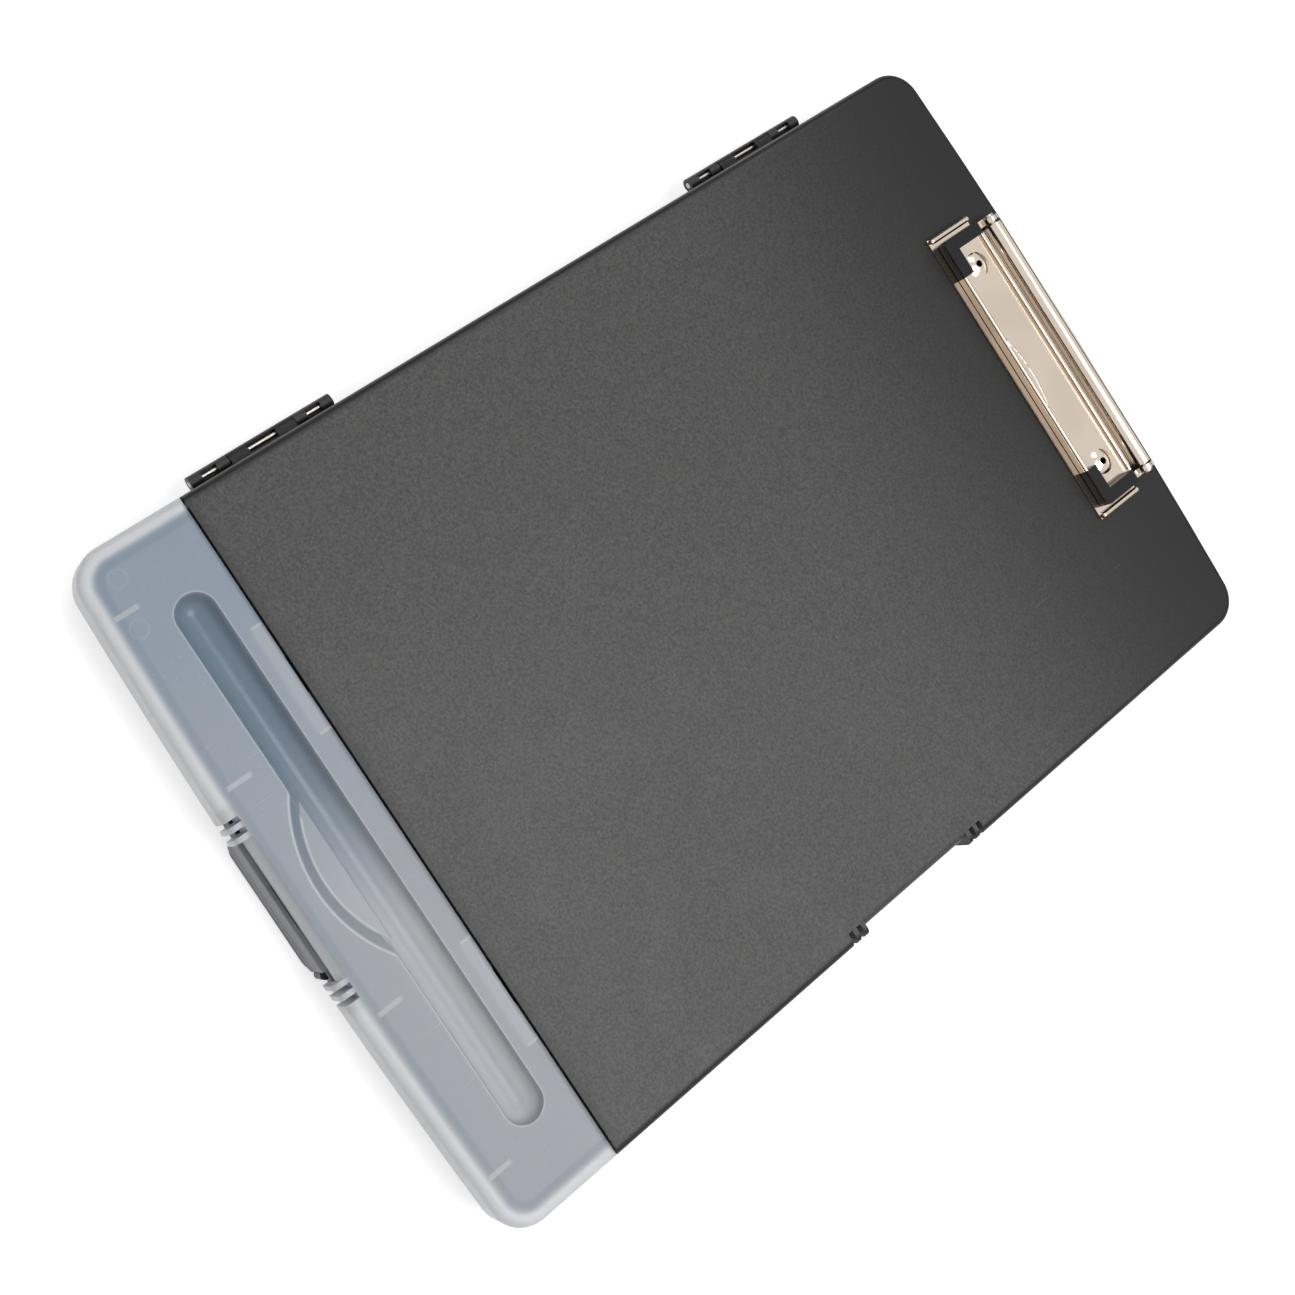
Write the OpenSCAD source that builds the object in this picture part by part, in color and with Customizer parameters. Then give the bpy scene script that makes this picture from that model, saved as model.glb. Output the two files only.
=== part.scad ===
// Storage clipboard box: a flat document case with a writing lid on one long side's hinges,
// a frosted pen lid across its lower end, a latch for each lid and a low lever clip on top.
//
// Frame: +Z up, the base rests on z = 0 and the origin is the middle of that face.
// +X points from the hinge side to the latch side, +Y from the pen end to the clip end.

/* [Box] */
// Width over the lids, hinge side to latch side
box_w = 240; // [232:1:260]
// Length over the two bowed ends
box_l = 360; // [350:1:400]
// How far the middle of each end stands out past its corners
end_bow = 3; // [1:0.5:5]
// Corner radius of the lids, seen from above
corner_r = 12; // [10.5:0.5:16]
// Height of the closed box without its clip
body_h = 25; // [24:0.5:30]
// Height of the parting line where the lids' skirts end
parting_z = 13; // [12:0.5:14]
// Thickness of the lids and their skirts
lid_wall = 2; // [1.6:0.1:2.2]
// Radius of the lids' top edge
lid_edge_r = 3; // [2.4:0.1:3.4]

/* [Base tray] */
// How far the base wall stands in from the lids' skirts
base_inset = 3.7; // [3.5:0.1:4.2]
// Thickness of the base wall and the divider
base_wall = 2; // [1.6:0.1:2.4]
// Thickness of the base floor
base_floor = 2; // [1.6:0.1:3]
// Gap from the top of the base wall to the underside of the lids
wall_clear = 2; // [1.6:0.1:3]
// Radius of the base's bottom edge
base_edge_r = 3; // [2:0.5:4]

/* [Main hinges] */
// Diameter of the steel hinge pins
hinge_pin_d = 2; // [1.6:0.1:2.2]
// Outer diameter of the knuckles
knuckle_d = 4.8; // [4.6:0.1:4.9]
// Distance from the lid's side to the pin's axis
hinge_out = 2.5; // [2.4:0.1:2.8]
// Length of one hinge
hinge_len = 53; // [46:1:60]
// Length of the middle knuckle, which is the lid's
lid_group_len = 24.4; // [20:0.2:30]
// Length of the window in the lid's knuckle
lid_slot_len = 10.6; // [5:0.2:12]
// Length of the window in each of the base's knuckles
base_slot_len = 5.6; // [3:0.2:6.4]
// Distance from the pen end of the box to the middle of the lower hinge
lower_hinge_from_end = 77; // [73:1:120]
// Distance from the clip end of the box to the middle of the upper hinge
upper_hinge_from_end = 75; // [60:1:120]

/* [Pen lid] */
// Distance from the pen end of the box to the joint between the lids
pen_lid_l = 43.7; // [42:0.1:56]
// Diameter of the round rear edge that holds the pen lid's pins
pen_bead_d = 4; // [3.8:0.1:4.4]
// Diameter of the pen lid's hinge pins
pen_pin_d = 1.2; // [0.9:0.1:1.3]
// Length of each pen lid hinge pin
pen_pin_len = 36; // [30:1:44]
// Distance from the middle of the box to the middle of each pen lid hinge
pen_hinge_x = 56.7; // [50:0.1:66]
// Width of the base's knuckle on each pen lid hinge
pen_post_w = 12; // [8:0.5:16]
// Thickness of the pen lid's skin over those knuckles
pen_skin = 0.55; // [0.4:0.05:0.7]
// Length of the pen groove
groove_l = 189; // [150:1:200]
// Width of the pen groove where it meets the lid's top
groove_w = 13.4; // [12:0.1:14]
// Depth of the pen groove
groove_depth = 6; // [4.5:0.1:6.4]
// Distance from the joint between the lids to the middle of the groove
groove_back = 15.8; // [14:0.1:17]
// Wall under the groove and the finger scoop
groove_wall = 1.6; // [1.2:0.1:2]
// Radius of the finger scoop's outer rim
scoop_r = 50.6; // [46:0.1:56]
// How far the scoop reaches out past the middle of the groove
scoop_reach = 15.9; // [14:0.1:17]
// Depth of the scoop's flat floor
scoop_depth = 4; // [3:0.1:4.4]
// How far the scoop's sloping wall leans in from its rim to its floor
scoop_lean = 4; // [2:0.1:6]
// Distance from the middle to each outer locating rib of the pen lid
outer_rib_x = 99; // [90:1:105]
// Distance from the middle to each inner locating rib of the pen lid
inner_rib_x = 40; // [38:1:70]

/* [Latches] */
// Width of each latch recess
recess_w = 50; // [44:1:56]
// Depth of a latch recess at the top of the lid
recess_depth = 3; // [2.6:0.1:3.4]
// Depth of the slots that leave the ear fins
ear_slot_depth = 5.2; // [4.4:0.1:5.4]
// Width of a latch flap
flap_w = 45.8; // [40:0.1:46]
// Thickness of a latch flap
flap_t = 1.5; // [1.2:0.1:1.6]
// Height of a latch flap's lower edge above the ground
flap_foot_z = 1.5; // [1:0.1:3]
// Radius of a latch flap's lower corners
flap_corner_r = 4; // [2:0.5:6]
// Distance of the finger lip inside the box outline
flap_lip_in = 0.8; // [0.4:0.1:1.2]
// Diameter of the latch pins
latch_pin_d = 1.6; // [1.2:0.1:1.8]
// Diameter of a latch flap's barrel
latch_barrel_d = 3.4; // [3.2:0.1:3.5]
// Depth of a latch pin's axis in from the lid's side
latch_pin_in = 3.1; // [3:0.05:3.3]
// Depth of a latch pin's axis below the lid's top
latch_pin_drop = 8; // [7:0.1:8.4]
// Width of each slot beside a latch recess
ear_slot_w = 1.9; // [1.4:0.1:2.2]
// Width of each fin between those slots
ear_fin_w = 1.7; // [1.4:0.1:2.2]
// Middle of the side latch along the box
side_latch_y = 0; // [-40:1:60]

/* [Clip] */
// Width of the rolled rear edge that holds the rod
roll_w = 104; // [96:1:104]
// Distance from the box's clip end to the clip's rod
rod_from_end = 9.7; // [9:0.1:30]
// Diameter of the rod
rod_d = 2.6; // [2:0.1:2.8]
// Outer diameter of the roll
roll_d = 7.2; // [7:0.1:7.6]
// Thickness of the clip's steel sheet
sheet_t = 0.9; // [0.7:0.1:1]
// Distance from the rod to the lever's front face
jaw_reach = 24.3; // [23.5:0.1:32]
// Height of the lever's lip above the lid
lip_h = 5; // [4.4:0.1:6]
// Width of the thumb bump
thumb_w = 33; // [24:1:44]
// How far the thumb bump reaches back from the lip
thumb_depth = 2.6; // [2:0.1:4]
// Distance from the rod to the base plate's front edge
plate_reach = 27.3; // [26.5:0.1:36]
// Width of the base plate's raised side bars
side_bar_w = 2.2; // [1.6:0.1:2.4]
// Height of the side bars above the lid
side_bar_h = 3.2; // [2:0.1:3.6]
// Distance from the lever's outer side in to each rivet
rivet_in = 13.7; // [12.5:0.1:18]
// Distance from the rod to the rivets
rivet_reach = 13.5; // [12.5:0.1:13.8]
// Diameter of the rivets' heads
rivet_head_d = 9.6; // [7:0.1:9.8]
// Height of the rivets' heads
rivet_head_h = 1.3; // [0.8:0.1:1.6]
// Diameter of the rivets' shanks
rivet_d = 4; // [3.4:0.1:4.4]
// Diameter of the hole through each rivet
rivet_hole_d = 2.6; // [1.6:0.1:2.8]
// Diameter of the backing washers inside the lid
washer_d = 10; // [8:0.5:14]
// Thickness of the backing washers
washer_t = 0.8; // [0.5:0.1:1]
// Wire diameter of the clip's spring
wire_d = 0.7; // [0.5:0.05:0.7]
// Turns in each of the spring's two coils
spring_turns = 7; // [4:1:9]
// Distance from the middle to the middle of each coil
coil_x = 18; // [12:1:30]
// Width of the plastic corners' arms
corner_arm_w = 5; // [4.4:0.1:5.2]
// Length of the plastic corners along the lever's front
corner_front_l = 15; // [12:0.5:17]
// Length of the plastic corners along the lever's sides
corner_side_l = 18; // [12:0.5:18]
// Outer corner radius of the plastic corners
corner_round = 2; // [1:0.1:2.6]

/* [Clearances] */
// Radial running clearance of every pin in its bore
pin_play = 0.05; // [0.03:0.01:0.08]
// Gap between pieces that move past each other
move_gap = 0.4; // [0.3:0.05:0.5]
// Gap left where a latch's hook passes its ledge
hook_gap = 0.2; // [0.15:0.05:0.3]
// Gap between the lever's outer side and the plate's upright side
corner_gap = 1.3; // [0.6:0.05:1.6]

/* [Hidden] */
$fn = 64;

// Colours of the moulded and pressed pieces
black_pp = [0.27, 0.27, 0.28];
dark_pp = [0.16, 0.16, 0.17];
frosted_pp = [0.62, 0.66, 0.70, 0.75];
nickel = [0.80, 0.76, 0.70];
steel = [0.66, 0.67, 0.69];

eps = 0.01;
past = 2;                       // how far cutting shapes run past what they cut
arc_fn = 1440;                  // segments of a full turn for the long end arcs
end_lap = 6;                    // how far an end piece reaches in behind the corners' middles

// Outline: straight sides, ends that are one wide arc, round corners tangent to both.
// The tilt and corner_y are rounded, so that the arcs meet to a millionth of a millimetre
half_w = box_w / 2;
corner_x = half_w - corner_r;
bow_r = (half_w * half_w + end_bow * end_bow) / (2 * end_bow);
end_tilt = round(asin(corner_x / (bow_r - corner_r)) * 10000) / 10000;
end_rho = corner_x / sin(end_tilt);
end_r = end_rho + corner_r;
corner_y = round((box_l / 2 - corner_r - end_rho * (1 - cos(end_tilt))) * 1000) / 1000;
end_cy = corner_y - end_rho * cos(end_tilt);

// How far out the clip end reaches at x, for an outline drawn in by inset
function end_y_at(x, inset) = end_cy + sqrt(pow(end_r - inset, 2) - x * x);

// Heights
lid_under = body_h - lid_wall;
wall_top = lid_under - wall_clear;

// Lengthwise stations
joint_y = -box_l / 2 + pen_lid_l;
lower_hinge_y = -box_l / 2 + lower_hinge_from_end;
upper_hinge_y = box_l / 2 - upper_hinge_from_end;
pen_bead_r = pen_bead_d / 2;
pen_axis_y = joint_y - move_gap - pen_bead_r;
pen_axis_z = body_h - pen_bead_r;
knuckle_gap = 0.25;             // between the base's knuckle and the lid round it
pen_knuckle_r = pen_bead_r - pen_skin - knuckle_gap;
pen_neck_t = 1.8;               // thickness of the neck that carries a knuckle
pen_past_up = 5;                // degrees past upright that the pen lid opens
pen_web_t = 1;
pen_web_reach = 3;              // how far a web reaches out from the hinge's axis
pen_web_off = 0.1;              // from a pin's end to the web
divider_top = pen_axis_z - pen_bead_r - move_gap;
groove_y = joint_y - groove_back;

// Locating ribs under the pen lid
rib_t = 1.5;
rib_gap = 0.7;                  // from the inside of the base's end wall
rib_foot = 1.7;                 // length of the rib's lower edge
rib_reach = 7.7;                // length of the rib along the lid
rib_drop = 6;                   // depth below the lid at the wall
rib_tip = 1.2;                  // depth below the lid at the inner end

// Main hinge
hinge_x = -half_w - hinge_out;
base_group_len = (hinge_len - lid_group_len) / 2;
group_gap = 0.5;                // between neighbouring knuckles
window_half = hinge_pin_d / 2 + 0.4;
hinge_notch_h = knuckle_d / 2 + 0.9;

// Latch geometry, in a latch's own frame: x along the pin, y outward from the lid's side
ear_w = 2 * ear_slot_w + 3 * ear_fin_w;
recess_wall_w = recess_w + 2 * ear_w + 2 * lid_wall;
latch_pin_len = recess_w + 2 * (ear_fin_w - 0.3);
latch_room_r = latch_barrel_d / 2 + 0.35;       // room in the lid round the flap's barrel
latch_wall_in = latch_pin_in + latch_room_r + lid_wall;
latch_axis_z = body_h - latch_pin_drop;
flap_in_y = -base_inset + 0.8;
flap_end_gap = 0.35;
flap_x1 = recess_w / 2 - flap_end_gap;
flap_x0 = flap_x1 - flap_w;
ledge_h = 2;
grip_l = 15;                    // the line pressed into a flap's barrel
grip_t = 0.5;
ledge_z = parting_z - 6;
ledge_out = 0.4;
ledge_half = recess_w / 2 - 6;
post_r = 1.5;
post_x = flap_x0 - flap_end_gap - post_r;

// Clip stations
roll_r = roll_d / 2;
roll_in_r = roll_r - sheet_t;
rod_y = box_l / 2 - rod_from_end;
rod_z = body_h + roll_r + 0.1;
plate_top = body_h + sheet_t;
plate_y = rod_y - plate_reach;
jaw_y = rod_y - jaw_reach;
jaw_z = plate_top + 0.3;
lip_top = body_h + lip_h;
rivet_y = rod_y - rivet_reach;
roll_fillet_r = 1.4;                    // concave bend from the plate up into the roll
roll_fillet_y = rod_y - sqrt(pow(roll_r + roll_fillet_r, 2)
    - pow(rod_z - plate_top - roll_fillet_r, 2)) + 0.05;
strip_z = jaw_z + 1;                    // underside of the lever's frame
strip_w = 3.4;                          // width of the lever's front strip
arm_x0 = roll_w / 2 + 1;                // inner side of the lever's arms
ear_t = 1.8;
ear_r = 3;
arm_x1 = arm_x0 + 2.6;
corner_x1 = arm_x1 + 0.9;
clip_w = 2 * (corner_x1 + corner_gap + side_bar_w);     // width over the clip's base plate
rivet_x = corner_x1 - rivet_in;
rod_len = 2 * (arm_x0 + ear_t + 1);
coil_r = (rod_d / 2 + roll_in_r) / 2;
thumb_r = (thumb_w * thumb_w / 4 + thumb_depth * thumb_depth) / (2 * thumb_depth);
thumb_half_angle = round(asin((thumb_w / 2 - 0.3) / thumb_r) * 100) / 100;
thumb_t = 0.8;                          // sheet of the bump
thumb_drop = 0.9;                       // from the lip's top down to the bump
thumb_rim_r = 0.55;
rivet_dome_r = (rivet_head_d * rivet_head_d / 4 + rivet_head_h * rivet_head_h) / (2 * rivet_head_h);

// ---------------------------------------------------------------- shared shapes

// Half section of a block h high, from r_in out to r_out, with its top edge round,
// or its bottom edge when foot is true
module edge_profile(r_in, r_out, h, er, foot) {
    translate([r_in, foot ? er : 0]) square([r_out - r_in, h - er]);
    translate([r_in, 0]) square([r_out - er - r_in, h]);
    translate([r_out - er, foot ? er : h - er]) circle(er);
}

// Moves its children by v along way, as a whole, a thousandths and a small part in turn,
// which keeps the digits of a long shift
module far_along(v, way) {
    whole = floor(v);
    part = floor((v - whole) * 1000) / 1000;
    translate(whole * way) translate(part * way) translate((v - whole - part) * way) children();
}

// The box's outline, drawn in by inset, between z0 and z1, with one edge of radius er:
// the top one, or the bottom one when foot is true
module box_block(inset, z0, z1, er, foot = false) translate([0, 0, z0]) {
    h = z1 - z0;
    hw = half_w - inset;
    rotate([90, 0, 0]) linear_extrude(2 * corner_y, center = true) {
        edge_profile(-eps, hw, h, er, foot);
        mirror([1, 0]) edge_profile(-eps, hw, h, er, foot);
    }
    for (side = [0, 1], end = [0, 1]) mirror([side, 0, 0]) mirror([0, end, 0]) {
        translate([corner_x, corner_y, 0])
            rotate_extrude(angle = 90 - end_tilt)
                edge_profile(0, corner_r - inset, h, er, foot);
        far_along(end_cy, [0, 1, 0]) mirror([-1, 1, 0])
            rotate_extrude(angle = end_tilt, $fn = arc_fn)
                far_along(end_rho, [1, 0])
                    edge_profile(-end_lap, corner_r - inset, h, er, foot);
    }
}

// A cylinder along X from x0 to x1
module rod_x(x0, x1, r) {
    translate([x0, 0, 0]) rotate([0, 90, 0]) cylinder(h = x1 - x0, r = r);
}

// A cylinder along Y from y0 to y1
module rod_y_dir(y0, y1, r) {
    translate([0, y1, 0]) rotate([90, 0, 0]) cylinder(h = y1 - y0, r = r);
}

// A box between two corners
module slab(a, b) {
    translate(a) cube(b - a);
}

// Everything on the clip side, or the pen side, of a line across the box
module clip_side_of(y) { slab([-box_w, y, -past], [box_w, box_l, body_h + past]); }
module pen_side_of(y) { slab([-box_w, -box_l, -past], [box_w, y, body_h + past]); }

// Puts a latch's own frame on the long side, or on the pen end
module at_side_latch() {
    translate([half_w, side_latch_y, 0]) rotate([0, 0, -90]) children();
}
module at_end_latch() {
    translate([0, -box_l / 2, 0]) rotate([0, 0, 180]) children();
}

// ---------------------------------------------------------------- latches, shared by both

// Solid behind a latch recess, before the recess is cut
module latch_wall() {
    slab([-recess_wall_w / 2, -latch_wall_in, parting_z], [recess_wall_w / 2, past, body_h]);
}

// Section of the recess, y out and z up: round top edge, and room round the flap's barrel
module recess_section() {
    translate([-recess_depth, parting_z - past]) square([recess_depth + 2 * past, body_h]);
    translate([-latch_pin_in - latch_room_r, parting_z - past])
        square([recess_depth + 2 * past, latch_axis_z - parting_z + past]);
    translate([-latch_pin_in, latch_axis_z]) circle(latch_room_r);
    difference() {
        translate([-recess_depth - lid_edge_r, body_h - lid_edge_r]) square(2 * lid_edge_r);
        translate([-recess_depth - lid_edge_r, body_h - lid_edge_r]) circle(lid_edge_r);
    }
}

// The recess, the slots that leave the ear fins, and the pin's bore
module latch_cut() {
    translate([-recess_w / 2, 0, 0]) rotate([90, 0, 90]) linear_extrude(recess_w) recess_section();
    for (side = [-1, 1], k = [0, 1]) {
        x = side * (recess_w / 2 + ear_fin_w + ear_slot_w / 2 + k * (ear_fin_w + ear_slot_w));
        slab([x - ear_slot_w / 2, -ear_slot_depth, parting_z - past],
            [x + ear_slot_w / 2, 2 * past, body_h + past]);
    }
    translate([0, -latch_pin_in, latch_axis_z])
        rod_x(-latch_pin_len / 2, latch_pin_len / 2, latch_pin_d / 2);
}

// Room in the base's wall for the solid behind the recess
module latch_base_cut() {
    slab([-recess_wall_w / 2 - move_gap, -base_inset - 3 * base_wall, parting_z - move_gap],
        [recess_wall_w / 2 + move_gap, past, body_h]);
}

// The ledge that the flap's hook sits under, and the stop post at the flap's end
module latch_base_add() {
    slab([-ledge_half, -base_inset - base_wall / 2, ledge_z],
        [ledge_half, -base_inset + ledge_out, ledge_z + ledge_h]);
    translate([post_x, -base_inset + post_r - 0.4, base_edge_r + 1])
        cylinder(h = parting_z - 2 * move_gap - base_edge_r - 1, r = post_r);
}

// Section of a flap: plate, hook ridge and finger lip, y out and z up, pin axis at its place
module flap_section() {
    out_y = flap_in_y + flap_t;
    hook_y = -base_inset + ledge_out + hook_gap;
    foot = flap_foot_z;
    polygon([[flap_in_y, latch_axis_z], [flap_in_y, ledge_z - 0.5], [hook_y, ledge_z - 0.9],
        [hook_y, ledge_z - 2], [flap_in_y, ledge_z - 2.6], [flap_in_y + 0.4, foot + 1.8],
        [-flap_lip_in - 1.6, foot], [-flap_lip_in, foot], [-flap_lip_in - 0.3, foot + 1],
        [out_y + 0.3, foot + 3.4], [out_y, foot + 6], [out_y, latch_axis_z]]);
}

module latch_flap() {
    mid_x = (flap_x0 + flap_x1) / 2;
    difference() {
        union() {
            intersection() {
                translate([flap_x0, 0, 0]) rotate([90, 0, 90]) linear_extrude(flap_w) flap_section();
                translate([mid_x, past, 0]) rotate([90, 0, 0]) linear_extrude(latch_wall_in + past) {
                    translate([-flap_w / 2, flap_foot_z + flap_corner_r])
                        square([flap_w, body_h]);
                    translate([-flap_w / 2 + flap_corner_r, flap_foot_z])
                        square([flap_w - 2 * flap_corner_r, body_h]);
                    for (side = [-1, 1])
                        translate([side * (flap_w / 2 - flap_corner_r), flap_foot_z + flap_corner_r])
                            circle(flap_corner_r);
                }
            }
            translate([0, -latch_pin_in, latch_axis_z]) rod_x(flap_x0, flap_x1, latch_barrel_d / 2);
        }
        translate([0, -latch_pin_in, latch_axis_z])
            rod_x(flap_x0 - past, flap_x1 + past, latch_pin_d / 2 + pin_play);
        // line pressed into the top of the barrel
        slab([mid_x - grip_l / 2, -latch_pin_in + 0.1, latch_axis_z + latch_barrel_d / 2 - grip_t],
            [mid_x + grip_l / 2, -latch_pin_in + 0.1 + grip_t, body_h]);
    }
}

module latch_pin() {
    translate([0, -latch_pin_in, latch_axis_z])
        rod_x(-latch_pin_len / 2, latch_pin_len / 2, latch_pin_d / 2);
}

// ---------------------------------------------------------------- main hinge

// A knuckle len long, centred on y
module knuckle(y, len) {
    translate([hinge_x, 0, parting_z]) rod_y_dir(y - len / 2, y + len / 2, knuckle_d / 2);
}

// The window in the top of a knuckle that shows the pin
module knuckle_window(y, len) {
    slab([hinge_x - window_half, y - len / 2, parting_z],
        [hinge_x + window_half, y + len / 2, parting_z + knuckle_d]);
}

// The base's two outer knuckles, with the arms that carry them
module base_knuckles(y) {
    len = base_group_len - group_gap / 2;
    arm_z = parting_z - knuckle_d / 2 + 0.3;
    for (side = [-1, 1]) {
        mid = y + side * (hinge_len - len) / 2;
        difference() {
            union() {
                knuckle(mid, len);
                slab([hinge_x, mid - len / 2, arm_z],
                    [-half_w + base_inset + base_wall / 2, mid + len / 2, parting_z - move_gap]);
            }
            knuckle_window(mid, base_slot_len);
        }
    }
}

// The lid's middle knuckle, with the web up to the skirt
module lid_knuckles(y) {
    len = lid_group_len - group_gap / 2;
    difference() {
        union() {
            knuckle(y, len);
            slab([hinge_x, y - len / 2, parting_z + 0.6],
                [-half_w + lid_wall / 2, y + len / 2, parting_z + knuckle_d / 2 + 0.4]);
        }
        knuckle_window(y, lid_slot_len);
    }
}

module hinge_bore(y, r) {
    translate([hinge_x, 0, parting_z]) rod_y_dir(y - hinge_len / 2 - past, y + hinge_len / 2 + past, r);
}

// Room in the lid's skirt for the base's knuckles and for the pin
module lid_hinge_notch(y) {
    for (side = [-1, 1]) {
        mid = y + side * (lid_group_len + base_group_len) / 2;
        slab([-half_w - past, mid - base_group_len / 2 - group_gap / 4, parting_z - past],
            [-half_w + lid_wall + eps, mid + base_group_len / 2 + group_gap / 4,
            parting_z + hinge_notch_h]);
    }
}

module hinge_pin(y) {
    translate([hinge_x, 0, parting_z])
        rod_y_dir(y - hinge_len / 2, y + hinge_len / 2, hinge_pin_d / 2);
}

// ---------------------------------------------------------------- pen lid hinge

// The base's knuckle on each hinge, on a neck that stands on the divider
module pen_posts() {
    for (side = [-1, 1]) translate([side * pen_hinge_x, pen_axis_y, 0]) {
        translate([0, 0, pen_axis_z]) rod_x(-pen_post_w / 2, pen_post_w / 2, pen_knuckle_r);
        slab([-pen_post_w / 2, -pen_neck_t / 2, divider_top - 1],
            [pen_post_w / 2, pen_neck_t / 2, pen_axis_z]);
    }
}

// Room in the pen lid for the knuckle, and for its neck as the lid swings up round it
module pen_post_room() {
    w = pen_post_w / 2 + move_gap;
    neck = pen_neck_t / 2 + knuckle_gap;
    out = pen_bead_r + past;
    for (side = [-1, 1]) translate([side * pen_hinge_x, pen_axis_y, pen_axis_z]) {
        rod_x(-w, w, pen_knuckle_r + knuckle_gap);
        translate([-w, 0, 0]) rotate([90, 0, 90]) linear_extrude(2 * w)
            polygon([[-neck, 0], [-neck, -out], [out, -out],
                [out, neck / cos(pen_past_up) + out * tan(pen_past_up)],
                [-neck * sin(pen_past_up), neck * cos(pen_past_up)]]);
    }
}

// Webs under the pen lid at both ends of each hinge
module pen_webs() {
    for (side = [-1, 1], end = [-1, 1]) {
        x = side * pen_hinge_x + end * (pen_pin_len / 2 + pen_web_off + pen_web_t / 2);
        slab([x - pen_web_t / 2, pen_axis_y - pen_web_reach, pen_axis_z - pen_bead_r + move_gap],
            [x + pen_web_t / 2, pen_axis_y, lid_under + 0.5]);
    }
}

module pen_pin_bores(r) {
    for (side = [-1, 1]) translate([side * pen_hinge_x, pen_axis_y, pen_axis_z])
        rod_x(-pen_pin_len / 2, pen_pin_len / 2, r);
}

module pen_pin(side) {
    translate([side * pen_hinge_x, pen_axis_y, pen_axis_z])
        rod_x(-pen_pin_len / 2, pen_pin_len / 2, pen_pin_d / 2);
}

// ---------------------------------------------------------------- base

module base_tray() color(black_pp) difference() {
    union() {
        difference() {
            box_block(base_inset, 0, wall_top, base_edge_r, foot = true);
            difference() {
                box_block(base_inset + base_wall, base_floor, wall_top + past,
                    base_edge_r - base_wall / 2, foot = true);
                slab([-half_w, pen_axis_y - base_wall / 2, 0],
                    [half_w, pen_axis_y + base_wall / 2, divider_top]);
            }
            at_side_latch() latch_base_cut();
            at_end_latch() latch_base_cut();
        }
        at_side_latch() latch_base_add();
        at_end_latch() latch_base_add();
        base_knuckles(lower_hinge_y);
        base_knuckles(upper_hinge_y);
        pen_posts();
    }
    hinge_bore(lower_hinge_y, hinge_pin_d / 2);
    hinge_bore(upper_hinge_y, hinge_pin_d / 2);
    pen_pin_bores(pen_pin_d / 2);
}

// ---------------------------------------------------------------- lids

module main_lid() color(black_pp) difference() {
    union() {
        intersection() {
            difference() {
                box_block(0, parting_z, body_h, lid_edge_r);
                difference() {
                    box_block(lid_wall, parting_z - past, lid_under, lid_edge_r - lid_wall / 2);
                    at_side_latch() latch_wall();
                    // stiffening rim along the joint between the lids
                    slab([-half_w, joint_y, wall_top + move_gap], [half_w, joint_y + lid_wall, body_h]);
                }
            }
            clip_side_of(joint_y);
        }
        lid_knuckles(lower_hinge_y);
        lid_knuckles(upper_hinge_y);
    }
    at_side_latch() latch_cut();
    lid_hinge_notch(lower_hinge_y);
    lid_hinge_notch(upper_hinge_y);
    hinge_bore(lower_hinge_y, hinge_pin_d / 2 + pin_play);
    hinge_bore(upper_hinge_y, hinge_pin_d / 2 + pin_play);
    for (side = [-1, 1]) translate([side * rivet_x, rivet_y, lid_under - past])
        cylinder(h = lid_wall + 2 * past, r = rivet_d / 2);
}

// The pen groove, grown by extra all round
module groove_shape(extra) {
    r = ((groove_w / 2) * (groove_w / 2) + groove_depth * groove_depth) / (2 * groove_depth);
    x = groove_l / 2 - groove_w / 2;
    translate([0, groove_y, body_h + r - groove_depth]) {
        rod_x(-x, x, r + extra);
        for (side = [-1, 1]) translate([side * x, 0, 0]) sphere(r + extra);
    }
}

// The finger scoop: the low slice of a wide cone, with its floor grown down by extra
module scoop_shape(extra) {
    cy = groove_y - scoop_reach + scoop_r;
    intersection() {
        translate([0, cy, body_h - scoop_depth - extra])
            cylinder(h = scoop_depth + 2 * extra, r1 = scoop_r - scoop_lean + extra,
                r2 = scoop_r + extra + scoop_lean * extra / scoop_depth);
        pen_side_of(groove_y + extra);
    }
}

// A rib that locates the pen lid against the inside of the base's end wall
module pen_rib(x) {
    foot_in = -end_y_at(abs(x) + rib_t / 2, base_inset + base_wall) + rib_gap;
    translate([x - rib_t / 2, 0, 0]) rotate([90, 0, 90]) linear_extrude(rib_t)
        polygon([[foot_in, lid_under + 0.5], [foot_in, lid_under - rib_drop],
            [foot_in + rib_foot, lid_under - rib_drop], [foot_in + rib_reach, lid_under - rib_tip],
            [foot_in + rib_reach, lid_under + 0.5]]);
}

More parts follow.
